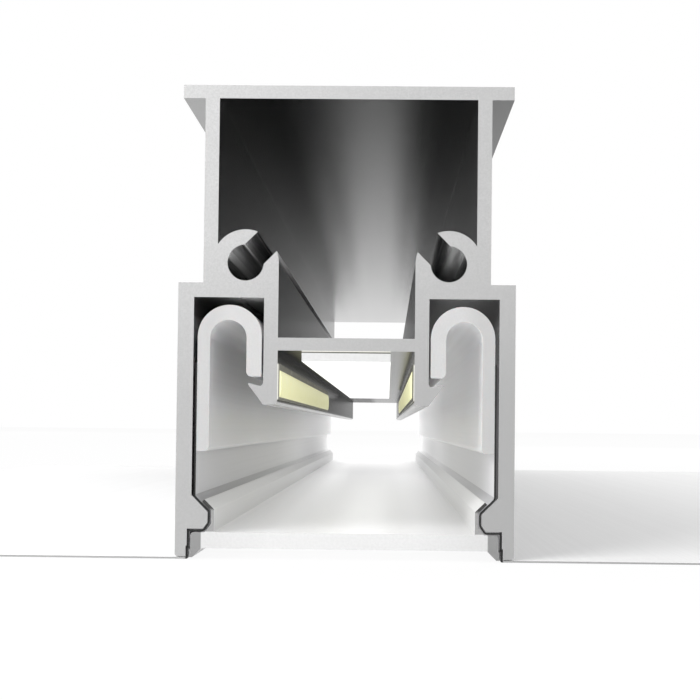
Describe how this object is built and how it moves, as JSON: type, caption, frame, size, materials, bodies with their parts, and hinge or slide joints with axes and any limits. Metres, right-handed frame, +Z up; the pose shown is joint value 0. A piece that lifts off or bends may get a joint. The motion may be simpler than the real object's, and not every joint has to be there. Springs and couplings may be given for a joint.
{
  "type": "led profile",
  "caption": "Extruded aluminium light-line profile for a stretch ceiling, with hooked film edges, a sliding opal diffuser and LED strips on its web and inner walls.",
  "frame": {"origin": "middle of the profile's length and width, on the plane that the films rest on", "axes": "+Z up towards the top plate, +Y along the profile away from the pictured end, +X to the right in the picture"},
  "size_m": [0.23, 0.3, 0.0535],
  "materials": {
    "aluminium": "mill finish, sawn ends",
    "opal_diffuser": "satin opal",
    "harpoon_pvc": "satin white",
    "stretch_film": "matt white",
    "adhesive_tape": "matt",
    "white_board": "satin",
    "lamp_body": "gloss",
    "resistor_body": "matt",
    "solder_pad": "tinned copper",
    "white_silicone": "satin milky",
    "phosphor": "satin"
  },
  "bodies": {
    "profile": {"aluminium_profile": "aluminium", "harpoon_left": "harpoon_pvc", "harpoon_right": "harpoon_pvc", "film_left": "stretch_film", "film_right": "stretch_film", "web_strip_tape": "adhesive_tape", "web_strip_board": "white_board", "web_strip_lamps": "lamp_body", "web_strip_resistors": "resistor_body", "web_strip_pads": "solder_pad", "web_strip_silicone": "white_silicone", "left_strip_tape": "adhesive_tape", "left_strip_board": "white_board", "left_strip_phosphor": "phosphor", "left_strip_pads": "solder_pad", "right_strip_tape": "adhesive_tape", "right_strip_board": "white_board", "right_strip_phosphor": "phosphor", "right_strip_pads": "solder_pad"},
    "diffuser": {"diffuser": "opal_diffuser"}
  },
  "joints": [
    {"name": "diffuser_slide", "type": "slide", "parent": "profile", "child": "diffuser", "axis": [0, -1, 0], "range_m": [-0.3, 0.3]}
  ]
}
